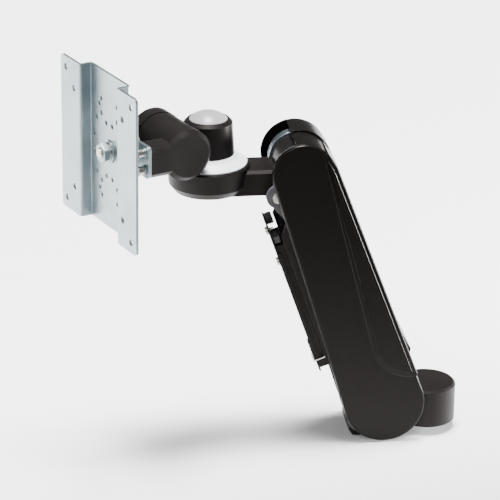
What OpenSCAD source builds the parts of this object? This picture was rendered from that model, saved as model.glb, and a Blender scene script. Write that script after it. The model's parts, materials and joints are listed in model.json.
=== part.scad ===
// Spring-balanced monitor arm.
// A round boss drops onto a post. A parallelogram arm rises from it and keeps the head level.
// The head swivels, tilts and turns, and ends in a pressed plate for the monitor.

/* [Base] */
// Radius of the round base boss
boss_r = 22; // [20:0.5:22.5]
// Height of the round base boss
boss_h = 29; // [27:0.5:30]
// Radius of the post that the base bush runs on
post_r = 8; // [6:0.5:8.5]
// Length of the base bush
bush_len = 24; // [18:1:25]

/* [Arm] */
// Distance between the arm's two pivots
arm_len = 192.5; // [185:0.5:220]
// Angle of the arm above the horizontal
arm_angle = 70.5; // [66:0.5:72]
// Angle between the arm's plane and the plate's normal, seen from above
arm_yaw = 22; // [0:1:40]
// Radius of the casing's round lower end
low_r = 30; // [28.5:0.5:31]
// Radius of the casing's round upper end
top_r = 23; // [22.5:0.5:24]
// Half the width of the casing, across its cheeks
case_half = 28.5; // [28.5:0.5:30]
// Wall thickness of the casing
wall = 2.5; // [1.5:0.5:2.5]

/* [Head] */
// Reach of the front bracket, from the arm's pivot to the swivel axis
front_reach = 66; // [62:1:75]
// Distance from the swivel axis to the tilt axis
tilt_reach = 31.5; // [31.5:0.5:34]
// Distance from the tilt axis to the front of the monitor plate
plate_reach = 57.5; // [57:0.5:70]

/* [Monitor plate] */
// Width and height of the monitor plate
plate_size = 116; // [112:1:125]
// Larger hole spacing of the monitor plate
vesa_large = 100; // [100:100:100]
// Smaller hole spacing of the monitor plate
vesa_small = 75; // [75:75:75]
// Radius of the monitor plate's mounting holes
vesa_r = 2.5; // [2.1:0.1:2.6]

/* [Hidden] */
$fn = 64;

// Fits
run_gap = 0.05;
body_gap = 0.4;

// Pivots in the arm's plane, as distance from the boss axis and height
p2 = [36.5, 27];
p1 = [p2[0] + arm_len * cos(arm_angle), p2[1] + arm_len * sin(arm_angle)];
link_off = [17, -18.2];
pivot_r = 5;
toe = [61, -6];
spacer_r = 9;
link_pin_r = 4;

// Stations across the arm's plane, from its middle outwards
knuckle_half = 16;
ring_in = 11;
ring_thin = 16.5;
ring_out = 19;
link_in = 19.3;
link_out = 22.3;
frame_in = 23;
frame_out = 25.3;
cheek_in = case_half - wall;
flap = 0.6;

// Casing
plate_half = 12;
low_drop = 3.5;
low_shift = 0.7;
seam_step = 1.2;
case_len = norm([arm_len + low_drop, low_shift]);
case_turn = atan(low_shift / (arm_len + low_drop));
taper = asin((low_r - top_r - seam_step) / case_len) - case_turn;
cut_angle = 76;
wall_start = 14;
post_at = [50, 100, 150];
cap_step = 44;
bump = [24, 28];
bump_half = 18;
cap_turn = 40;
cap_lift = 6.5;
cap_round = 31;
cap_rise = 3;
cap_skin = 0.9;
cap_head = [arm_len - 2.5, top_r + 2.2];
cap_tip = [arm_len + 10, top_r - 1];

// Under-arm link, in heights measured from the link's own axis
link_half = 9;
web_top = -5.5;
web_low = -7;
tray_low = -8.2;
duct_floor = -9.2;
lid_top = -14.4;
lid_low = -15.9;
lid_screw_at = [52, arm_len - 57, arm_len - 31];
clip_at = 58;

// Front bracket and head, heights above the base
deck_z = p1[1] + 3;
head_z = deck_z + 21.5;
tilt_drop = 2.4;
hub_x = p1[0] + front_reach;
hub_row = [-hub_x * cos(arm_yaw), hub_x * sin(arm_yaw)];
shaft_r = 6;
shaft_half = 26.9;
cheek_gap = 15.4;
cheek_wide = 30;
barrel_r = 19;
chamfer = 3.3;

// Monitor plate, in depths from the face that meets the monitor
sheet = 2;
web_front = 9;
wall_y = 28.3;
bend = 2.5;
bolt_r = 4;
collar_x = 13.5;
head_plate_x = 24.5;
head_plate_t = 2.5;
screw_y = 24;
screw_z = 6.5;
web_holes = [[4.5, 20], [12, 25.5], [15, 31.7], [12, 36.5], [19.5, 20], [23.5, 6.7]];

// Colours
black_paint = [0.10, 0.095, 0.09];
zinc = [0.70, 0.74, 0.76];
steel = [0.62, 0.60, 0.57];
nylon = [0.93, 0.94, 0.97];
grey_paint = [0.42, 0.42, 0.45];
cap_grey = [0.72, 0.72, 0.74];

// Height of the casing's sloping edge at distance a along the arm
function edge(a) = (top_r + seam_step) / cos(taper) + (arm_len - a) * tan(taper);

// Points of an arc from angle a0 to angle a1
function arc(c, r, a0, a1, n) =
    [for (i = [0:n]) [c[0] + r * cos(a0 + (a1 - a0) * i / n), c[1] + r * sin(a0 + (a1 - a0) * i / n)]];

// The same points mirrored in y, in reverse order
function flipped(points) = [for (i = [len(points) - 1:-1:0]) [points[i][0], -points[i][1]]];

// ---- Placing ----

module in_arm_plane() {
    rotate([0, 0, 180 - arm_yaw]) children();
}

module on_arm() {
    in_arm_plane() translate([p2[0], 0, p2[1]]) rotate([0, -arm_angle, 0]) children();
}

module on_link() {
    in_arm_plane()
        translate([p2[0] + link_off[0], 0, p2[1] + link_off[1]])
            rotate([0, -arm_angle, 0]) children();
}

module at_hub() {
    translate([hub_row[0], hub_row[1], 0]) children();
}

// Frame of the monitor plate: x points from the monitor towards the arm
module at_plate() {
    translate([hub_row[0] - tilt_reach - plate_reach, hub_row[1], head_z]) children();
}

module at_tilt() {
    at_plate() translate([plate_reach, 0, -tilt_drop]) children();
}

// ---- Shapes that repeat ----

// A flat outline in the x-z plane, made thick from y = n0 to y = n1
module across(n0, n1) {
    translate([0, n1, 0]) rotate([90, 0, 0]) linear_extrude(n1 - n0) children();
}

module rod_y(r, n0, n1) {
    translate([0, n0, 0]) rotate([-90, 0, 0]) cylinder(r = r, h = n1 - n0);
}

module rod_x(r, x0, x1) {
    translate([x0, 0, 0]) rotate([0, 90, 0]) cylinder(r = r, h = x1 - x0);
}

module ring_y(r, bore, n0, n1) {
    difference() {
        rod_y(r, n0, n1);
        rod_y(bore, n0 - 1, n1 + 1);
    }
}

module ring_x(r, bore, x0, x1) {
    difference() {
        rod_x(r, x0, x1);
        rod_x(bore, x0 - 1, x1 + 1);
    }
}

module ring_z(r, bore, z0, z1) {
    difference() {
        translate([0, 0, z0]) cylinder(r = r, h = z1 - z0);
        translate([0, 0, z0 - 1]) cylinder(r = bore, h = z1 - z0 + 2);
    }
}

module both_sides() {
    children();
    mirror([0, 1, 0]) children();
}

// Two circles joined by their outer tangents
module track(r1, r2, len) {
    lean = asin((r1 - r2) / len);
    circle(r = r1);
    translate([len, 0]) circle(r = r2);
    polygon([
        [r1 * sin(lean), r1 * cos(lean)],
        [len + r2 * sin(lean), r2 * cos(lean)],
        [len + r2 * sin(lean), -r2 * cos(lean)],
        [r1 * sin(lean), -r1 * cos(lean)]]);
}

module rounded_square(w, h, r) {
    square([w - 2 * r, h], center = true);
    square([w, h - 2 * r], center = true);
    for (x = [-1, 1], y = [-1, 1])
        translate([x * (w / 2 - r), y * (h / 2 - r)]) circle(r = r);
}

// Screw with a socket in its head; the head ends at x = 0 and the shank runs to +x
module socket_screw(head_r, head_h, shank_r, len, socket_r) {
    difference() {
        union() {
            rod_x(head_r, -head_h, 0);
            rod_x(shank_r, -0.01, len);
        }
        translate([-head_h - 0.01, 0, 0]) rotate([0, 90, 0])
            cylinder(r = socket_r, h = head_h * 0.6, $fn = 6);
    }
}

// Coil of round wire along +x
module coil(mean_r, wire_r, len, turns) {
    steps = 20;
    sides = 8;
    rings = turns * steps;
    points = [for (i = [0:rings], j = [0:sides - 1])
        let (t = 360 * i / steps, u = 360 * j / sides, r = mean_r + wire_r * cos(u))
        [len * i / rings + wire_r * sin(u), r * cos(t), r * sin(t)]];
    walls = [for (i = [0:rings - 1], j = [0:sides - 1])
        let (k = (j + 1) % sides)
        [i * sides + j, i * sides + k, (i + 1) * sides + k, (i + 1) * sides + j]];
    start = [for (j = [sides - 1:-1:0]) j];
    finish = [for (j = [0:sides - 1]) rings * sides + j];
    polyhedron(points = points, faces = concat(walls, [start, finish]), convexity = 20);
}

// ---- Base ----

module base_bracket() {
    color(black_paint) in_arm_plane() difference() {
        union() {
            cylinder(r = boss_r, h = boss_h - 1.5);
            translate([0, 0, boss_h - 1.5]) cylinder(r1 = boss_r, r2 = boss_r - 1.5, h = 1.5);
            across(-knuckle_half, knuckle_half) {
                translate(p2) circle(r = barrel_r);
                polygon([
                    [0, 0], [toe[0] - 34, 0], [toe[0] - 28, toe[1]], [toe[0] - 3, toe[1]],
                    [toe[0], toe[1] + 4], [toe[0], 10], [p2[0] + 14, p2[1]], [0, 22]]);
                translate(p2 + link_off) circle(r = link_half);
            }
        }
        translate([0, 0, -1]) cylinder(r = post_r + 2, h = bush_len + 1);
        translate([p2[0], 0, p2[1]]) rod_y(pivot_r, -20, 20);
        translate([p2[0] + link_off[0], 0, p2[1] + link_off[1]]) rod_y(link_pin_r, -20, 20);
        translate([-boss_r - 1, 0, 12]) rod_x(2.5, 0, boss_r);
    }
}

module base_bush() {
    color(nylon) in_arm_plane() ring_z(post_r + 2, post_r, 0, bush_len);
}

module base_set_screw() {
    color(steel) in_arm_plane() translate([-boss_r + 0.5, 0, 12]) difference() {
        rod_x(2.5, 0, boss_r - post_r - 2.5);
        translate([-0.01, 0, 0]) rotate([0, 90, 0]) cylinder(r = 1.45, h = 3, $fn = 6);
    }
}

// Pivot pin with a small groove at each end for its clip
module pivot_pin() {
    both_sides() {
        rod_y(pivot_r, 0, frame_out - 1);
        rod_y(pivot_r - 0.6, frame_out - 1.01, frame_out - 0.1);
    }
}

module lower_pivot_pin() {
    color(steel) in_arm_plane() translate([p2[0], 0, p2[1]]) pivot_pin();
}

module lower_pivot_washers() {
    color(nylon) in_arm_plane() translate([p2[0], 0, p2[1]])
        both_sides() ring_y(spacer_r, pivot_r, knuckle_half, frame_in - 0.2);
}

module link_pin() {
    rod_y(link_pin_r, -link_out - 0.3, link_out + 0.3);
    both_sides() {
        rod_y(5.5, link_out + 0.3, link_out + 2.2);
        rod_y(4.6, link_out + 2.19, link_out + 3);
    }
}

module link_lower_pin() {
    color(steel) in_arm_plane()
        translate([p2[0] + link_off[0], 0, p2[1] + link_off[1]]) link_pin();
}

// ---- Arm ----

module side_plate() {
    across(frame_in, frame_out) difference() {
        union() {
            circle(r = plate_half);
            translate([arm_len, 0]) circle(r = plate_half);
            translate([0, -plate_half]) square([arm_len, 2 * plate_half]);
        }
        circle(r = pivot_r + run_gap);
        translate([arm_len, 0]) circle(r = pivot_r + run_gap);
        for (a = [62, 88, 114]) translate([a, 0]) circle(r = 6);
    }
}

module side_plate_near() {
    color(zinc) on_arm() side_plate();
}

module side_plate_far() {
    color(zinc) on_arm() mirror([0, 1, 0]) side_plate();
}

// Height of a screw post, close under the casing's top wall
function post_z(a) = edge(a) - wall - 4.4;

// Side view of the casing at a distance inside its rim; the far half is taller by a step
module casing_outline(step, inset) {
    translate([-low_drop, -low_shift]) rotate(case_turn)
        track(low_r - inset, top_r + step - inset, case_len);
}

module casing_half(step) {
    across(cheek_in, case_half - 0.8) casing_outline(step, 0);
    across(case_half - 0.81, case_half) casing_outline(step, 0.8);
    across(0, case_half - 1.5) intersection() {
        difference() {
            casing_outline(step, 0);
            casing_outline(step, wall);
        }
        polygon([
            [wall_start, 0], [arm_len, 0],
            [arm_len + 60, 60 * tan(cut_angle - arm_angle)], [arm_len + 60, 60], [wall_start, 60]]);
    }
    for (a = post_at) translate([a, 0, post_z(a)]) rod_y(3, 0, cheek_in + 0.1);
}

module cover_near() {
    color(black_paint) on_arm() difference() {
        casing_half(0);
        for (a = post_at) translate([a, 0, post_z(a)]) rod_y(1.5, -1, 12);
    }
}

module cover_far() {
    color(black_paint) on_arm() difference() {
        mirror([0, 1, 0]) casing_half(seam_step);
        for (a = post_at) translate([a, 0, post_z(a)]) {
            rod_y(1.6, -case_half - 1, 1);
            rod_y(2.9, -case_half - 1, -case_half + 2);
        }
    }
}

module cover_screws() {
    color(steel) on_arm() for (a = post_at)
        translate([a, -case_half + 2, post_z(a)]) rotate([0, 0, 90])
            socket_screw(2.8, 1.8, 1.5, case_half + 8, 1.2);
}

// Side view of the strip that covers the casing's top wall
module cap_strip() {
    start = cap_turn - cap_round + 1;
    polygon([
        [start, edge(start) - 0.5], [start + 1.5, edge(start) + cap_skin],
        [cap_step, edge(cap_step) + cap_skin], cap_head, cap_tip, [arm_len - 6, edge(arm_len) - 0.5], [wall_start, edge(wall_start) - 0.5]]);
}

// Outline of the cap's flap on a cheek, at a distance inside its rim
module flap_outline(inset) {
    left = cap_turn - cap_round + 1.7 + inset;
    intersection() {
        union() {
            translate([cap_turn, edge(cap_turn) + cap_lift]) circle(r = cap_round - inset);
            polygon([
                [cap_turn, edge(cap_turn)], cap_head,
                [cap_tip[0] - 3 - inset, cap_tip[1] - 2.4 + inset],
                [cap_turn, edge(cap_turn) + cap_lift - cap_round + inset]]);
        }
        polygon([
            [left, edge(left)], [cap_head[0] - 1, cap_head[1] - 1.2],
            [cap_tip[0] - 3.2 - inset, cap_tip[1] - 2.2 + inset],
            [cap_tip[0] - 3.2 - inset, -10], [left, -10]]);
    }
}

// Finger catch that stands up at the strip's lower end
module cap_catch() {
    polygon([
        [bump[0], edge(bump[0]) + 0.4], [bump[1], edge(bump[1]) + cap_rise],
        [cap_step, edge(cap_step) + cap_skin], [cap_step, edge(cap_step) + 0.4]]);
}

module top_cap() {
    half = case_half + flap;
    color(black_paint) on_arm() {
        across(-case_half, case_half) difference() {
            cap_strip();
            casing_outline(seam_step, 0);
        }
        across(-bump_half, bump_half) cap_catch();
        both_sides() {
            across(case_half, half) {
                cap_strip();
                flap_outline(0);
            }
            across(half, half + 0.5) flap_outline(4.5);
        }
    }
}

module spring() {
    color(steel) on_arm() translate([44.6, 0, 0]) coil(8.4, 1.5, 86.8, 13);
}

module spring_seats() {
    color(zinc) on_arm() {
        ring_x(11, bolt_r, 39, 43);
        ring_x(11, bolt_r, 133, 137);
    }
}

module spring_anchor() {
    color(zinc) on_arm() difference() {
        translate([28, -frame_in, -8.5]) cube([11, 2 * frame_in, 17]);
        rod_x(bolt_r, 20, 50);
    }
}

module spring_block() {
    color(zinc) on_arm() difference() {
        translate([146, -frame_in, -8.5]) cube([11, 2 * frame_in, 17]);
        rod_x(bolt_r, 140, 170);
    }
}

module tension_screw() {
    color(steel) on_arm() {
        rod_x(bolt_r, 28, 157.01);
        translate([157, 0, 0]) rotate([0, 90, 0]) cylinder(r = 7.5, h = 5.3, $fn = 6);
    }
}

// ---- Under-arm link ----

module lower_link() {
    color(grey_paint) on_link() {
        both_sides() across(link_in, link_out) difference() {
            union() {
                circle(r = link_half);
                translate([arm_len, 0]) circle(r = link_half);
                polygon([
                    [0, link_half], [arm_len, link_half], [arm_len + 1, -link_half + 0.1],
                    [arm_len - 5, -7], [arm_len - 19, -1.5], [arm_len - 30, -1.5],
                    [arm_len - 36, web_low], [20, web_low], [0, -link_half]]);
            }
            circle(r = link_pin_r + run_gap);
            translate([arm_len, 0]) circle(r = link_pin_r);
        }
        translate([20, -link_in - 0.1, web_low])
            cube([arm_len - 58, 2 * link_in + 0.2, web_top - web_low]);
    }
}

module link_upper_bolt() {
    color(steel) on_link() translate([arm_len, 0, 0]) {
        rod_y(link_pin_r, -link_out - 0.01, link_out + 0.01);
        both_sides() {
            rod_y(4.6, link_out, link_out + 1.8);
            rod_y(3.8, link_out + 1.79, link_out + 2.4);
        }
    }
}

module under_cover() {
    outer = link_out + 2;
    color(black_paint) on_link() {
        both_sides() across(outer - 1.5, outer)
            polygon([
                [43, tray_low], [arm_len - 29, tray_low], [arm_len - 20, -1],
                [arm_len - 20, 3.5], [43, 3.5]]);
        translate([43, -outer + 0.1, tray_low])
            cube([arm_len - 74, 2 * outer - 0.2, web_low - tray_low]);
    }
}

module cable_channel() {
    color(black_paint) on_link() {
        translate([50, -17, duct_floor]) cube([arm_len - 88, 34, tray_low - duct_floor]);
        both_sides() translate([50, 15.5, lid_top])
            cube([arm_len - 88, 1.5, duct_floor - lid_top + 0.1]);
    }
}

module channel_lid() {
    color(black_paint) on_link() difference() {
        union() {
            translate([48, -18.4, lid_low]) cube([arm_len - 72, 36.8, lid_top - lid_low]);
            both_sides() translate([60, 17.2, lid_top - 0.1]) cube([arm_len - 104, 1.2, 1.6]);
        }
        for (a = lid_screw_at) translate([a, 0, lid_low - 1]) cylinder(r = 1.4, h = 4);
    }
}

module lid_screws() {
    color(steel) on_link() for (a = lid_screw_at)
        translate([a, 0, lid_low]) rotate([0, -90, 0])
            socket_screw(3, 1.8, 1.4, 4.5, 1.2);
}

// Two stops under the lid's upper end, one at each side of the channel
module channel_tab() {
    color(grey_paint) on_link() {
        translate([arm_len - 29, -17, lid_top]) cube([5, 12, 5]);
        translate([arm_len - 36, 5, lid_top]) cube([5, 12, 4.8]);
    }
}

// Bent wire that holds the lid's lower end to the link
module channel_clip() {
    wire = 0.6;
    color(steel) on_link() translate([clip_at, 0, 0]) {
        translate([0, 0, lid_low - wire]) rod_y(wire, -19, 19);
        both_sides() translate([0, 19, lid_low - wire]) {
            cylinder(r = wire, h = tray_low - lid_low + wire - 0.2);
            sphere(r = wire);
        }
    }
}

// ---- Front bracket ----

module front_bracket() {
    bar_top = p1[1] - 0.3;
    bar_low = p1[1] - 19;
    color(black_paint) in_arm_plane() difference() {
        union() {
            translate([p1[0], 0, p1[1]]) rod_y(barrel_r - 1, -ring_in, ring_thin);
            translate([hub_x, 0, 0]) rotate_extrude() polygon([
                [0, deck_z - 20.5], [24.5, deck_z - 20.5], [28.5, deck_z - 15.5],
                [30.4, deck_z - 1.2], [29.4, deck_z], [0, deck_z]]);
            translate([p1[0], 0, 0]) rotate([90, 0, 90]) linear_extrude(front_reach - 10) polygon([
                [-knuckle_half, bar_low], [knuckle_half, bar_low],
                [knuckle_half, bar_top - 2], [knuckle_half - 2, bar_top],
                [-knuckle_half + 2, bar_top], [-knuckle_half, bar_top - 2]]);
            across(-knuckle_half, knuckle_half) translate(p1 + link_off) circle(r = link_half);
        }
        translate([p1[0], 0, p1[1]]) rod_y(pivot_r, -20, 20);
        translate([p1[0], 0, p1[1]]) {
            rod_y(barrel_r + 1.2, ring_thin, 20);
            rod_y(barrel_r + 1.2, -20, -ring_in);
        }
        translate([p1[0] + link_off[0], 0, p1[1] + link_off[1]]) rod_y(link_pin_r + body_gap, -20, 20);
        translate([hub_x, 0, deck_z - 30]) cylinder(r = post_r, h = 40);
        translate([hub_x, 0, deck_z - 21]) cylinder(r = 12, h = 4);
    }
}

module barrel_rings() {
    color(zinc) in_arm_plane() translate([p1[0], 0, p1[1]])
        {
        ring_y(barrel_r + 0.8, pivot_r, ring_thin, ring_out);
        ring_y(barrel_r + 0.8, pivot_r, -ring_out, -ring_in);
    }
}

module upper_pivot_pin() {
    color(steel) in_arm_plane() translate([p1[0], 0, p1[1]]) pivot_pin();
}

module upper_pivot_washers() {
    color(nylon) in_arm_plane() translate([p1[0], 0, p1[1]])
        both_sides() ring_y(spacer_r, pivot_r, ring_out, frame_in - 0.2);
}

module swivel_ring() {
    color(nylon) at_hub() rotate_extrude() polygon([
        [post_r, deck_z], [28.4, deck_z], [28.4, deck_z + 1], [28, deck_z + 1.3],
        [27, deck_z + 1.3], [26.2, deck_z + 2.4], [22, deck_z + 4.6], [20, deck_z + 7],
        [post_r, deck_z + 7]]);
}

module swivel_post() {
    color(steel) at_hub() {
        translate([0, 0, deck_z - 17]) cylinder(r = post_r, h = 40.5);
        translate([0, 0, deck_z - 20]) cylinder(r = 11.8, h = 3.01);
        translate([0, 0, deck_z + 23.49]) cylinder(r = 5, h = 6);
    }
}

module swivel_washer() {
    color(zinc) at_hub() ring_z(11, 5, deck_z + 23.5, deck_z + 25);
}

module swivel_nut() {
    color(steel) at_hub() difference() {
        translate([0, 0, deck_z + 25]) cylinder(r = 9.2, h = 4, $fn = 6);
        translate([0, 0, deck_z + 24]) cylinder(r = 5, h = 6);
    }
}

// ---- Head ----

module head_hub() {
    hub_low = deck_z + 7.4;
    hub_top = head_z + 9.5;
    color(black_paint) difference() {
        union() {
            at_hub() {
                translate([0, 0, hub_low]) cylinder(r1 = barrel_r, r2 = 17.5, h = hub_top - hub_low);
                translate([0, 0, hub_top - 0.01]) cylinder(r1 = 17.5, r2 = 15.5, h = 2);
            }
            at_tilt() rod_y(barrel_r - 0.3, -cheek_gap + body_gap, cheek_gap - body_gap);
            at_tilt() rotate([90, 0, 90]) linear_extrude(tilt_reach) polygon([
                [-12.5, -barrel_r + 3], [12.5, -barrel_r + 3], [12.5, 9.5],
                [11, 11], [-11, 11], [-12.5, 9.5]]);
        }
        at_tilt() rod_y(shaft_r + 2, -20, 20);
        at_hub() {
            translate([0, 0, deck_z + 1]) cylinder(r = post_r + 2, h = 22.3);
            translate([0, 0, deck_z + 23.29]) cylinder(r = 13, h = 20);
            translate([0, 0, deck_z - 1]) cylinder(r = 29.4, h = 2.9);
            translate([0, 0, deck_z + 1.89]) cylinder(r1 = 28, r2 = 21, h = 5.6);
        }
    }
}

module dome_cap() {
    rise = 6;
    rim = 14;
    ball = (rim * rim + rise * rise) / (2 * rise);
    color(cap_grey) at_hub() translate([0, 0, head_z + 11.5]) {
        intersection() {
            translate([0, 0, rise - ball]) sphere(r = ball, $fn = 96);
            cylinder(r = rim, h = 20);
        }
        translate([0, 0, -2]) ring_z(12.9, 11.6, 0, 2.01);
    }
}

module hub_bush() {
    color(nylon) at_hub() ring_z(post_r + 2, post_r + run_gap, deck_z + 7.4, deck_z + 23.2);
}

module tilt_bushes() {
    color(nylon) at_tilt() both_sides()
        ring_y(shaft_r + 2, shaft_r + run_gap, 3, cheek_gap - body_gap);
}

// ---- Yoke ----

module yoke_cheek() {
    shoulder = cheek_wide - chamfer;
    arm_half = 12;
    difference() {
        union() {
            rod_y(barrel_r, cheek_gap, shoulder);
            translate([0, shoulder - 0.01, 0]) rotate([-90, 0, 0])
                cylinder(r1 = barrel_r, r2 = barrel_r - chamfer, h = chamfer + 0.01);
            translate([head_plate_x + head_plate_t - plate_reach, 0, 0]) rotate([90, 0, 90])
                linear_extrude(plate_reach - head_plate_x - head_plate_t) polygon([
                    [cheek_gap, -arm_half], [shoulder, -arm_half],
                    [cheek_wide, -arm_half + chamfer], [cheek_wide, arm_half - chamfer],
                    [shoulder, arm_half], [cheek_gap, arm_half]]);
        }
        rod_y(shaft_r, 0, shaft_half);
        for (z = [-1, 1]) translate([head_plate_x - plate_reach, screw_y, z * screw_z])
            rod_x(2, 0, 15);
    }
}

module yoke_cheek_near() {
    color(black_paint) at_tilt() mirror([0, 1, 0]) yoke_cheek();
}

module yoke_cheek_far() {
    color(black_paint) at_tilt() yoke_cheek();
}

module tilt_shaft() {
    color(steel) at_tilt() rod_y(shaft_r, -shaft_half, shaft_half);
}

// Repeats its children at the yoke's four screws
module yoke_corners() {
    for (y = [-1, 1], z = [-1, 1])
        at_plate() translate([0, y * screw_y, z * screw_z - tilt_drop]) children();
}

module head_plate() {
    color(zinc) difference() {
        at_plate() translate([head_plate_x, 0, -tilt_drop]) rotate([90, 0, 90])
            linear_extrude(head_plate_t) rounded_square(2 * cheek_wide, 24, 3);
        yoke_corners() rod_x(2, 20, 30);
        at_plate() rod_x(bolt_r, 20, 30);
    }
}

module yoke_screws() {
    color(steel) yoke_corners() translate([22.3, 0, 0]) socket_screw(3.4, 3.6, 2, 16, 1.6);
}

module yoke_spring_washers() {
    color(steel) yoke_corners() ring_x(3.2, 2, 22.3, 23.7);
}

module yoke_flat_washers() {
    color(zinc) yoke_corners() ring_x(3.9, 2, 23.7, head_plate_x);
}

module pivot_bolt() {
    color(steel) at_plate() {
        rod_x(bolt_r - 0.5, 0.3, 0.81);
        rod_x(bolt_r, 0.8, 30.5);
        translate([head_plate_x + head_plate_t, 0, 0]) rotate([0, 90, 0])
            cylinder(r = 7.5, h = 5, $fn = 6);
    }
}

module pivot_collar() {
    color(zinc) at_plate() ring_x(12, bolt_r, collar_x, head_plate_x);
}

module friction_disc() {
    color(zinc) at_plate() ring_x(17, bolt_r, web_front + sheet + 0.1, collar_x);
}

module pivot_washer() {
    color(zinc) at_plate() ring_x(8.5, bolt_r, web_front - 1.3, web_front - 0.1);
}

module pivot_spring_washer() {
    color(steel) at_plate() difference() {
        ring_x(7, bolt_r, web_front - 2.9, web_front - 1.3);
        translate([0, 0, 5.5]) rotate([30, 0, 0]) cube([30, 0.8, 6], center = true);
    }
}

module pivot_nut() {
    color(zinc) at_plate() difference() {
        translate([web_front - 7.1, 0, 0]) rotate([0, 90, 0]) cylinder(r = 7.5, h = 4.2, $fn = 6);
        rod_x(bolt_r, 0, 10);
    }
}

// ---- Monitor plate ----

// The plate's bent section: x is depth, and y runs across the plate
module plate_section() {
    low = [bend, wall_y + bend];
    high = [web_front + sheet - bend, wall_y + sheet - bend];
    front = concat([[0, plate_size / 2]], arc(low, bend, 180, 270, 8), arc(high, bend - sheet, 90, 0, 4));
    back = concat(arc(high, bend, 0, 90, 8), arc(low, bend - sheet, 270, 180, 4), [[sheet, plate_size / 2]]);
    polygon(concat(front, flipped(front), flipped(back), back));
}

module vesa_plate() {
    color(zinc) at_plate() difference() {
        intersection() {
            translate([0, 0, -plate_size / 2]) linear_extrude(plate_size) plate_section();
            rotate([90, 0, 90]) linear_extrude(20) rounded_square(plate_size, plate_size, 3);
        }
        for (s = [vesa_large, vesa_small], y = [-1, 1], z = [-1, 1])
            translate([0, y * s / 2, z * s / 2]) rod_x(vesa_r, -1, 5);
        for (h = web_holes, y = [-1, 1], z = [-1, 1])
            translate([0, y * h[0], z * h[1]]) rod_x(1.9, 5, 15);
        rod_x(bolt_r + run_gap, 5, 15);
    }
}

base_bracket();
base_bush();
base_set_screw();
lower_pivot_pin();
lower_pivot_washers();
link_lower_pin();
side_plate_near();
side_plate_far();
cover_near();
cover_far();
top_cap();
cover_screws();
spring();
spring_seats();
spring_anchor();
spring_block();
tension_screw();
lower_link();
link_upper_bolt();
under_cover();
cable_channel();
channel_lid();
lid_screws();
channel_tab();
channel_clip();
front_bracket();
barrel_rings();
upper_pivot_pin();
upper_pivot_washers();
swivel_ring();
swivel_post();
swivel_washer();
swivel_nut();
head_hub();
dome_cap();
hub_bush();
tilt_bushes();
yoke_cheek_near();
yoke_cheek_far();
tilt_shaft();
head_plate();
yoke_screws();
yoke_spring_washers();
yoke_flat_washers();
pivot_bolt();
pivot_collar();
friction_disc();
pivot_washer();
pivot_spring_washer();
pivot_nut();
vesa_plate();
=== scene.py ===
"""Looks of the monitor arm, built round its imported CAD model. All lengths are in metres."""
import json
import math

import bmesh
import bpy
from mathutils import Matrix, Vector


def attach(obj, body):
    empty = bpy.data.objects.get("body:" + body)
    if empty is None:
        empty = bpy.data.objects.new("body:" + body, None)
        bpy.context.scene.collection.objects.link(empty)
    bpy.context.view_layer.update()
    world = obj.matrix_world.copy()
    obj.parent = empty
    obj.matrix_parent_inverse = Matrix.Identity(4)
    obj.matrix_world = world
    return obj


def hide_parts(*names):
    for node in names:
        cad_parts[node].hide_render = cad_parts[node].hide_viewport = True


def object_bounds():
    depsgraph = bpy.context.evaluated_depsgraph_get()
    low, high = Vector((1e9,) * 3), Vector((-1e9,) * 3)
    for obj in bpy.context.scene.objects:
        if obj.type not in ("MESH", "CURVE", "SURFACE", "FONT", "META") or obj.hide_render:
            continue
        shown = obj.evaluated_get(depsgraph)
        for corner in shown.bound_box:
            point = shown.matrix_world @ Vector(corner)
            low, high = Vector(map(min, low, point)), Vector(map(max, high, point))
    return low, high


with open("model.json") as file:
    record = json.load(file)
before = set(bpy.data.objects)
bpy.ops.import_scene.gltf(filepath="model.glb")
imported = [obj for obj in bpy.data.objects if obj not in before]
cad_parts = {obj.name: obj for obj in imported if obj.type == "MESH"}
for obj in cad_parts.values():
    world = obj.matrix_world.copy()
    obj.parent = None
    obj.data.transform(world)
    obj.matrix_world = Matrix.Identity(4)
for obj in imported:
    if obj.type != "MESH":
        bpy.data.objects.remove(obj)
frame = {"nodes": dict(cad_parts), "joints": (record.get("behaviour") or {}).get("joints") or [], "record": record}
cad_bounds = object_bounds()

MM = 0.001
JOINTS = {joint["name"]: joint for joint in frame["joints"]}
SLOT_OF = {row["node"]: row["material_slot"] for row in frame["record"]["subparts"]}


# ---- Places taken from the frame ----

def joint_place(name):
    return Vector(JOINTS[name]["pos_m"])


LOW_PIVOT = joint_place("arm_pitch")
HIGH_PIVOT = joint_place("level")
ACROSS = Vector(JOINTS["arm_pitch"]["axis"]).normalized()
ALONG = (HIGH_PIVOT - LOW_PIVOT).normalized()
OUTWARD = ALONG.cross(ACROSS).normalized()
ARM_LENGTH = (HIGH_PIVOT - LOW_PIVOT).length
# Columns: along the arm, across it towards the near cover, out of its top side
ARM_FRAME = Matrix.Translation(LOW_PIVOT) @ Matrix((ALONG, ACROSS, OUTWARD)).transposed().to_4x4()

# Casing, as in the CAD model: its side view is two circles and their tangents
LOW_RADIUS = 30 * MM
NEAR_TOP_RADIUS = 23 * MM
FAR_TOP_RADIUS = 24.2 * MM
LOW_CENTRE = (-3.5 * MM, -0.7 * MM)
CENTRES_APART = math.hypot(ARM_LENGTH - LOW_CENTRE[0], LOW_CENTRE[1])
CENTRES_SLOPE = math.atan2(-LOW_CENTRE[1], ARM_LENGTH - LOW_CENTRE[0])
CASE_HALF = 28.5 * MM
WALL = 2.5 * MM
RIM_ROUND = 2.3 * MM
# Rise of the top wall at the middle of the casing
CROWN = 0.4 * MM
# Where the hood's front edge and the low end of the top wall are
HOOD_CUT = math.radians(6)
WALL_START = 14 * MM

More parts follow.
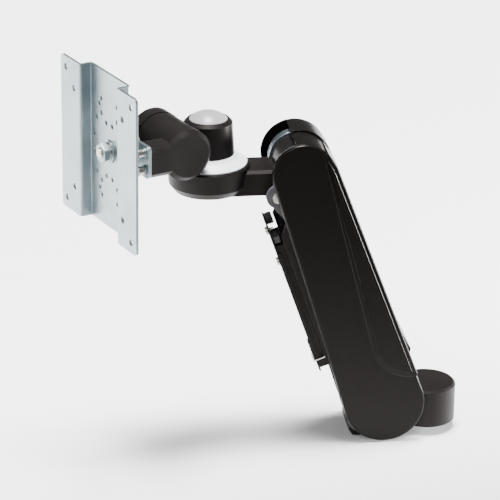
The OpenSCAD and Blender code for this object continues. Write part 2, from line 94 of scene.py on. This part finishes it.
# Cap over the top wall: a strip with a catch, and a flap on each cheek
CAP_SKIN = 0.9 * MM
CAP_HEAD = (ARM_LENGTH - 2.5 * MM, NEAR_TOP_RADIUS + 2.2 * MM)
CAP_TIP = (ARM_LENGTH + 10 * MM, NEAR_TOP_RADIUS - 1 * MM)
CAP_TURN = 40 * MM
CAP_ROUND = 31 * MM
CAP_LIFT = 6.5 * MM
STRIP_START = CAP_TURN - CAP_ROUND + 1 * MM
STRIP_ROLL = 1.6 * MM
STRIP_OVERHANG = 0.6 * MM
STRIP_UNDER = 0.4 * MM
FLAP_START = CAP_TURN - CAP_ROUND + 1.7 * MM
FLAP_DROP = 0.8 * MM
FLAP_FRONT = 3 * MM
# Distance inside the flap's rim and height above the cheek, in millimetres
FLAP_STEPS = [(0, -0.3), (0, 0.15), (0.8, 0.6), (4.2, 0.6), (5.2, 1.05)]
CATCH_START = 24 * MM
CATCH_PEAK = 28 * MM
CATCH_END = 44 * MM
CATCH_RISE = 2.1 * MM
CATCH_HALF = 18 * MM


# ---- Materials ----

# Noise values between which a colour or a roughness runs over its whole range
NOISE_SPAN = (0.3, 0.7)
SKIN_DEPTH = 0.04 * MM
BRUSH_DEPTH = 0.02 * MM
COATING_TINT = (1.0, 0.93, 0.90, 1)


def new_material(name):
    material = bpy.data.materials.new(name)
    material.use_nodes = True
    return material, material.node_tree, material.node_tree.nodes["Principled BSDF"]


def object_noise(tree, scale, detail, stretch=(1, 1, 1)):
    """Noise in the piece's own coordinates, in metres."""
    where = tree.nodes.new("ShaderNodeTexCoord")
    mapping = tree.nodes.new("ShaderNodeMapping")
    mapping.inputs["Scale"].default_value = stretch
    noise = tree.nodes.new("ShaderNodeTexNoise")
    noise.inputs["Scale"].default_value = scale
    noise.inputs["Detail"].default_value = detail
    tree.links.new(where.outputs["Object"], mapping.inputs["Vector"])
    tree.links.new(mapping.outputs["Vector"], noise.inputs["Vector"])
    return noise.outputs["Fac"]


def ramp(tree, source, stops):
    """Turns a value into a colour, by stops of place and colour."""
    node = tree.nodes.new("ShaderNodeValToRGB")
    while len(node.color_ramp.elements) < len(stops):
        node.color_ramp.elements.new(0.5)
    for element, (place, colour) in zip(node.color_ramp.elements, stops):
        element.position = place
        element.color = (*colour, 1)
    tree.links.new(source, node.inputs["Fac"])
    return node.outputs["Color"]


def spread(tree, source, low, high):
    """Maps a noise value to low..high."""
    node = tree.nodes.new("ShaderNodeMapRange")
    node.inputs["From Min"].default_value = NOISE_SPAN[0]
    node.inputs["From Max"].default_value = NOISE_SPAN[1]
    node.inputs["To Min"].default_value = low
    node.inputs["To Max"].default_value = high
    tree.links.new(source, node.inputs["Value"])
    return node.outputs["Result"]


def add_bump(tree, shader, source, strength, depth):
    bump = tree.nodes.new("ShaderNodeBump")
    bump.inputs["Strength"].default_value = strength
    bump.inputs["Distance"].default_value = depth
    tree.links.new(source, bump.inputs["Height"])
    tree.links.new(bump.outputs["Normal"], shader.inputs["Normal"])


def coated(name, dark, light, roughness, grain, bump, specular=0.5, uneven=0.045, under_skin=0):
    """Paint or moulded plastic with a fine skin."""
    material, tree, shader = new_material(name)
    patch = object_noise(tree, 35, 3)
    skin = object_noise(tree, grain, 2)
    tree.links.new(ramp(tree, patch, list(zip(NOISE_SPAN, (dark, light)))), shader.inputs["Base Color"])
    if uneven:
        rough = spread(tree, patch, roughness - uneven, roughness + uneven)
        tree.links.new(rough, shader.inputs["Roughness"])
    else:
        shader.inputs["Roughness"].default_value = roughness
    shader.inputs["Specular IOR Level"].default_value = specular
    shader.inputs["Specular Tint"].default_value = COATING_TINT
    if under_skin:
        shader.inputs["Subsurface Weight"].default_value = under_skin
        shader.inputs["Subsurface Radius"].default_value = (2 * MM, 2 * MM, 2 * MM)
    add_bump(tree, shader, skin, bump, SKIN_DEPTH)
    return material


def metal(name, tones, roughness, brush, stretch, bump):
    """Plated or bare metal with brushing and slow changes of tint."""
    material, tree, shader = new_material(name)
    tint = object_noise(tree, 28, 4)
    lines = object_noise(tree, brush, 3, stretch)
    places = [0.25 + 0.5 * i / (len(tones) - 1) for i in range(len(tones))]
    tree.links.new(ramp(tree, tint, list(zip(places, tones))), shader.inputs["Base Color"])
    shader.inputs["Metallic"].default_value = 1.0
    tree.links.new(spread(tree, lines, roughness - 0.05, roughness + 0.08), shader.inputs["Roughness"])
    add_bump(tree, shader, lines, bump, BRUSH_DEPTH)
    return material


MATERIALS = {
    "cast_black": coated("cast_black", (0.0056, 0.0046, 0.0046), (0.0080, 0.0068, 0.0068),
                         roughness=0.42, grain=2600, bump=0.30, specular=0.13),
    "case_black": coated("case_black", (0.0037, 0.0031, 0.0029), (0.0040, 0.0033, 0.0031),
                         roughness=0.27, grain=900, bump=0.03, specular=0.115, uneven=0),
    "trim_black": coated("trim_black", (0.0050, 0.0042, 0.0042), (0.0072, 0.0062, 0.0062),
                         roughness=0.46, grain=1800, bump=0.22, specular=0.14),
    "grey_paint": coated("grey_paint", (0.050, 0.048, 0.053), (0.066, 0.063, 0.070),
                         roughness=0.38, grain=1200, bump=0.10, specular=0.25),
    "nylon": coated("nylon", (0.86, 0.88, 0.92), (0.90, 0.92, 0.95),
                    roughness=0.38, grain=700, bump=0.06, under_skin=0.12),
    "cap_grey": coated("cap_grey", (0.26, 0.26, 0.27), (0.29, 0.29, 0.30), roughness=0.34, grain=700, bump=0.05),
    "zinc": metal("zinc", [(0.27, 0.33, 0.36), (0.36, 0.42, 0.44), (0.42, 0.46, 0.475)],
                  roughness=0.34, brush=900, stretch=(1, 1, 0.12), bump=0.18),
    "steel": metal("steel", [(0.50, 0.47, 0.42), (0.62, 0.60, 0.56)],
                   roughness=0.24, brush=700, stretch=(1, 0.3, 1), bump=0.10),
    "spring_steel": metal("spring_steel", [(0.20, 0.20, 0.22), (0.27, 0.27, 0.28)],
                          roughness=0.33, brush=700, stretch=(1, 1, 1), bump=0.10),
}


# ---- Finish of the CAD nodes ----

# Width of the rounding on a node's edges, in millimetres
ROUNDING = {
    "base_bracket": 1.2, "front_bracket": 1.0, "head_hub": 0.8, "yoke_cheek_near": 0.7, "yoke_cheek_far": 0.7,
    "top_cap": 0.35, "vesa_plate": 0.28, "head_plate": 0.35, "under_cover": 0.3, "cable_channel": 0.3,
    "channel_lid": 0.35, "lower_link": 0.4, "channel_tab": 0.5, "swivel_ring": 0.25, "dome_cap": 0.3,
    "barrel_rings": 0.35, "spring_block": 0.8, "spring_anchor": 0.8, "pivot_nut": 0.3, "pivot_bolt": 0.15,
    "side_plate_near": 0.25, "side_plate_far": 0.25, "pivot_collar": 0.4, "friction_disc": 0.25,
}
SMALL_ROUNDING = 0.15


def shade_smooth(mesh):
    mesh.polygons.foreach_set("use_smooth", [True] * len(mesh.polygons))


def round_edges(piece, width, angle=28):
    """Rounds the edges that bend by more than the angle, in degrees."""
    bevel = piece.modifiers.new("rounding", "BEVEL")
    bevel.width = width
    bevel.segments = 3
    bevel.limit_method = "ANGLE"
    bevel.angle_limit = math.radians(angle)
    normals = piece.modifiers.new("normals", "WEIGHTED_NORMAL")
    normals.keep_sharp = True


def finish_node(name, node):
    """Gives a CAD node its material, whole flats and rounded edges."""
    node.data.materials.clear()
    node.data.materials.append(MATERIALS[SLOT_OF[name]])
    shade_smooth(node.data)
    weld = node.modifiers.new("weld", "WELD")
    weld.merge_threshold = 0.002 * MM
    flats = node.modifiers.new("flats", "DECIMATE")
    flats.decimate_type = "DISSOLVE"
    flats.angle_limit = math.radians(0.6)
    round_edges(node, ROUNDING.get(name, SMALL_ROUNDING) * MM)
    if "custom_normal" in node.data.attributes:
        node.data.attributes.remove(node.data.attributes["custom_normal"])


for name, node in frame["nodes"].items():
    finish_node(name, node)


# ---- Pieces made here ----

def piece_from(name, shape, material, body, nodes):
    """A new object from a bmesh, riding on a body and standing for CAD nodes."""
    mesh = bpy.data.meshes.new(name)
    bmesh.ops.recalc_face_normals(shape, faces=shape.faces)
    shape.to_mesh(mesh)
    shape.free()
    piece = bpy.data.objects.new(name, mesh)
    bpy.context.scene.collection.objects.link(piece)
    mesh.materials.append(MATERIALS[material])
    shade_smooth(mesh)
    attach(piece, body)
    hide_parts(*nodes)
    return piece


def between(first, last, steps):
    """Points evenly spaced between two points, without either end."""
    return [tuple(a + (b - a) * i / steps for a, b in zip(first, last)) for i in range(1, steps)]


def arc(centre, radius, start, finish, steps):
    """Points along an arc, with both ends."""
    angles = [start + (finish - start) * i / steps for i in range(steps + 1)]
    return [(centre[0] + radius * math.cos(angle), centre[1] + radius * math.sin(angle)) for angle in angles]


def track_outline(top_radius, inset, hood_start=None, wall_end=None, arc_steps=40, side_steps=14):
    """Points round the casing's side view, or only over its hood and top wall down to wall_end."""
    low = LOW_RADIUS - inset
    high_angle = math.pi / 2 - math.asin((LOW_RADIUS - top_radius) / CENTRES_APART) + CENTRES_SLOPE
    start = 2 * CENTRES_SLOPE - high_angle if hood_start is None else hood_start
    points = arc((ARM_LENGTH, 0), top_radius - inset, start, high_angle, arc_steps)
    high_side = points[-1]
    low_side = (LOW_CENTRE[0] + low * math.cos(high_angle), LOW_CENTRE[1] + low * math.sin(high_angle))
    if wall_end is not None:
        share = (high_side[0] - wall_end) / (high_side[0] - low_side[0])
        low_side = (wall_end, high_side[1] + share * (low_side[1] - high_side[1]))
    points += between(high_side, low_side, side_steps)
    points.append(low_side)
    if wall_end is None:
        points += arc(LOW_CENTRE, low, high_angle, 2 * math.pi + start, arc_steps)[1:]
        points += between(points[-1], points[0], side_steps)
    return points


def add_ring(mesh, points, across):
    return [mesh.verts.new(ARM_FRAME @ Vector((a, across, z))) for a, z in points]


def bridge(mesh, first, second, closed=True):
    """Faces between two rings or rows of the same length."""
    count = len(first)
    for i in range(count if closed else count - 1):
        j = (i + 1) % count
        mesh.faces.new((first[i], first[j], second[j], second[i]))


def bridge_all(mesh, rings, closed=True):
    for first, second in zip(rings, rings[1:]):
        bridge(mesh, first, second, closed)


def close_solid(mesh, rings):
    """The sides and both end faces of a solid, from its rings."""
    bridge_all(mesh, rings)
    mesh.faces.new(rings[0])
    mesh.faces.new(rings[-1])


def add_cheek(mesh, side, top_radius, steps=6):
    """The flat side of a cover, with a rounded rim."""
    rings = [add_ring(mesh, track_outline(top_radius, 0), side * (CASE_HALF - WALL))]
    for i in range(steps + 1):
        angle = math.pi / 2 * i / steps
        inset = RIM_ROUND * (1 - math.cos(angle))
        out = CASE_HALF - RIM_ROUND * (1 - math.sin(angle))
        rings.append(add_ring(mesh, track_outline(top_radius, inset), side * out))
    close_solid(mesh, rings)


def add_wall(mesh, side, top_radius, steps=8):
    """The wall over the top of a cover: its hood and its top side, crowned towards the middle."""
    outer = []
    inner = []
    for i in range(steps + 1):
        share = i / steps
        across = side * (CASE_HALF - WALL) * share
        rise = CROWN * (1 - share ** 2)
        outer.append(add_ring(mesh, track_outline(top_radius, -rise, HOOD_CUT, WALL_START), across))
        inner.append(add_ring(mesh, track_outline(top_radius, WALL, HOOD_CUT, WALL_START), across))
    bridge_all(mesh, outer, closed=False)
    bridge_all(mesh, inner, closed=False)
    bridge(mesh, outer[0], inner[0], closed=False)
    bridge(mesh, outer[-1], inner[-1], closed=False)
    for end in (0, -1):
        for i in range(steps):
            mesh.faces.new((outer[i][end], outer[i + 1][end], inner[i + 1][end], inner[i][end]))


def make_cover(name, side, top_radius, node):
    mesh = bmesh.new()
    add_cheek(mesh, side, top_radius)
    add_wall(mesh, side, top_radius)
    cover = piece_from(name, mesh, "case_black", "arm", [node])
    round_edges(cover, 0.35 * MM, 50)


def cap_edge(along):
    """Height of the far shell's sloping top edge."""
    slope = math.asin((LOW_RADIUS - FAR_TOP_RADIUS) / CENTRES_APART) - CENTRES_SLOPE
    return FAR_TOP_RADIUS / math.cos(slope) + (ARM_LENGTH - along) * math.tan(slope)


def flap_outline(inset):
    """A flap's rim on a cheek: an arc at its low end, then straight up to the cap's tip."""
    centre = (CAP_TURN, cap_edge(CAP_TURN) + CAP_LIFT)
    radius = CAP_ROUND - inset
    left = FLAP_START + inset
    top_inset = inset * 0.35
    arc_start = math.acos((left - centre[0]) / radius)
    front = CAP_TIP[0] - inset
    low_tip = (front, CAP_TIP[1] - FLAP_DROP - FLAP_FRONT + inset * 0.3)
    head = (CAP_HEAD[0] - inset * 0.3, CAP_HEAD[1] - CAP_SKIN - FLAP_DROP - top_inset)
    points = [(left, cap_edge(left) - FLAP_DROP - top_inset)]
    points += arc(centre, radius, -arc_start, -math.pi / 2, 26)
    points += between(points[-1], low_tip, 16)
    points += [low_tip, (front, CAP_TIP[1] - FLAP_DROP - top_inset), head]
    points += between(head, points[0], 16)
    return points


def add_flap(mesh, side):
    """A flap with two soft steps, each a narrow slope."""
    close_solid(mesh, [add_ring(mesh, flap_outline(inset * MM), side * (CASE_HALF + rise * MM))
                       for inset, rise in FLAP_STEPS])


def add_strip(mesh, roll_steps=5):
    """The strip over the casing's top wall, with its edges rolled over the cheeks."""
    side_view = [(STRIP_START, cap_edge(STRIP_START))]
    side_view += [(a, cap_edge(a) + CAP_SKIN) for a in (STRIP_START + 1.5 * MM, CATCH_START, CATCH_PEAK, CATCH_END)]
    side_view += [CAP_HEAD, CAP_TIP]
    half = CASE_HALF + STRIP_OVERHANG
    angles = [math.pi / 2 * i / roll_steps for i in range(roll_steps + 1)]
    near_edge = [(half - STRIP_ROLL * (1 - math.sin(angle)), STRIP_ROLL * (1 - math.cos(angle))) for angle in angles]
    under_edge = (half, STRIP_ROLL + STRIP_UNDER)
    near_edge.append(under_edge)
    edges = [(-n, drop) for n, drop in reversed(near_edge)] + near_edge
    rows = [add_ring(mesh, [(a, z - drop) for a, z in side_view], n) for n, drop in edges]
    bridge_all(mesh, rows, closed=False)
    bridge(mesh, rows[-1], rows[0], closed=False)
    for end in (0, -1):
        mesh.faces.new([row[end] for row in rows])


def add_catch(mesh):
    """The wedge that a finger lifts the cap by."""
    sunk = CAP_SKIN - 0.3 * MM
    stations = [(CATCH_START, sunk), (CATCH_PEAK, CAP_SKIN + CATCH_RISE), (CATCH_END, CAP_SKIN), (CATCH_END, sunk)]
    side_view = [(a, cap_edge(a) + rise) for a, rise in stations]
    close_solid(mesh, [add_ring(mesh, side_view, n) for n in (-CATCH_HALF, CATCH_HALF)])


def make_cap():
    mesh = bmesh.new()
    add_strip(mesh)
    add_catch(mesh)
    for side in (1, -1):
        add_flap(mesh, side)
    cap = piece_from("cap_shell", mesh, "case_black", "arm", ["top_cap"])
    round_edges(cap, 0.2 * MM, 30)


def make_spring():
    """Compression spring with closed ends, swept along a helix."""
    low, high = 43.2 * MM, 132.8 * MM
    mean, wire = 8.4 * MM, 1.5 * MM
    turns, steps, sides = 14, 32, 12
    # How much closer the turns lie at the ends
    closing = 0.35
    count = turns * steps
    mesh = bmesh.new()
    rings = []
    for i in range(count + 1):
        share = i / count
        eased = share - math.sin(2 * math.pi * share) / (2 * math.pi) * closing
        centre = low + wire + (high - low - 2 * wire) * eased
        turn = 2 * math.pi * i / steps
        ring = []
        for j in range(sides):
            around = 2 * math.pi * j / sides
            radius = mean + wire * math.cos(around)
            spot = Vector((centre + wire * math.sin(around), radius * math.cos(turn), radius * math.sin(turn)))
            ring.append(mesh.verts.new(ARM_FRAME @ spot))
        rings.append(ring)
    close_solid(mesh, rings)
    piece_from("coil_spring", mesh, "spring_steel", "arm", ["spring"])


make_cover("near_shell", 1, NEAR_TOP_RADIUS, "cover_near")
make_cover("far_shell", -1, FAR_TOP_RADIUS, "cover_far")
make_cap()
make_spring()


# ---- Stage, light and camera ----

FLOOR_SIZE = 40
FLOOR_GAP = 0.5 * MM


def make_floor():
    material, _, shader = new_material("floor_paper")
    shader.inputs["Base Color"].default_value = (0.93, 0.93, 0.93, 1)
    shader.inputs["Roughness"].default_value = 0.8
    shader.inputs["Specular IOR Level"].default_value = 0.1
    bpy.ops.mesh.primitive_plane_add(size=FLOOR_SIZE, location=(0, 0, cad_bounds[0].z - FLOOR_GAP))
    floor = bpy.context.object
    floor.name = "floor"
    floor.data.materials.append(material)


def make_light(name, place, target, size, power, cone=180):
    """A rectangular lamp that the camera doesn't see; the cone is its spread in degrees."""
    light = bpy.data.lights.new(name, "AREA")
    light.shape = "RECTANGLE"
    light.size, light.size_y = size
    light.energy = power
    light.spread = math.radians(cone)
    lamp = bpy.data.objects.new(name, light)
    bpy.context.scene.collection.objects.link(lamp)
    lamp.location = place
    lamp.rotation_euler = (Vector(target) - Vector(place)).to_track_quat("-Z", "Y").to_euler()
    lamp.visible_camera = False


def make_world(strength):
    world = bpy.data.worlds.new("studio")
    world.use_nodes = True
    world.node_tree.nodes["Background"].inputs["Color"].default_value = (1, 1, 1, 1)
    world.node_tree.nodes["Background"].inputs["Strength"].default_value = strength
    bpy.context.scene.world = world


def make_camera():
    """A long lens, seen from the front left and above, leaning a little."""
    azimuth = math.radians(29.8)
    elevation = math.radians(22.3)
    roll = math.radians(0.7)
    distance = 2.2
    aim = Vector((-0.127, 0.048, 0.142))
    forward = Vector((math.sin(azimuth) * math.cos(elevation), math.cos(azimuth) * math.cos(elevation),
                      -math.sin(elevation)))
    right = Vector((math.cos(azimuth), -math.sin(azimuth), 0))
    up = right.cross(forward)
    leaned_right = right * math.cos(roll) + up * math.sin(roll)
    leaned_up = up * math.cos(roll) - right * math.sin(roll)
    data = bpy.data.cameras.new("camera")
    data.lens = 216
    data.sensor_width = 36
    data.clip_start = 0.05
    camera = bpy.data.objects.new("camera", data)
    bpy.context.scene.collection.objects.link(camera)
    turn = Matrix((leaned_right, leaned_up, -forward)).transposed().to_4x4()
    camera.matrix_world = Matrix.Translation(aim - forward * distance) @ turn
    bpy.context.scene.camera = camera


make_floor()
make_world(0.20)
make_light("overhead", (0.35, 1.60, 1.5), (0.35, 1.60, 0), (5.0, 3.5), 270, cone=30)
make_light("key", (-0.95, -0.75, 1.1), (-0.12, 0.02, 0.15), (0.30, 0.30), 5)
make_light("rim", (0.72, -0.26, 0.12), (0, 0, 0.12), (0.08, 0.24), 30)
make_light("left", (-1.3, -0.25, 0.45), (-0.15, 0.02, 0.12), (0.25, 0.5), 2)
make_camera()
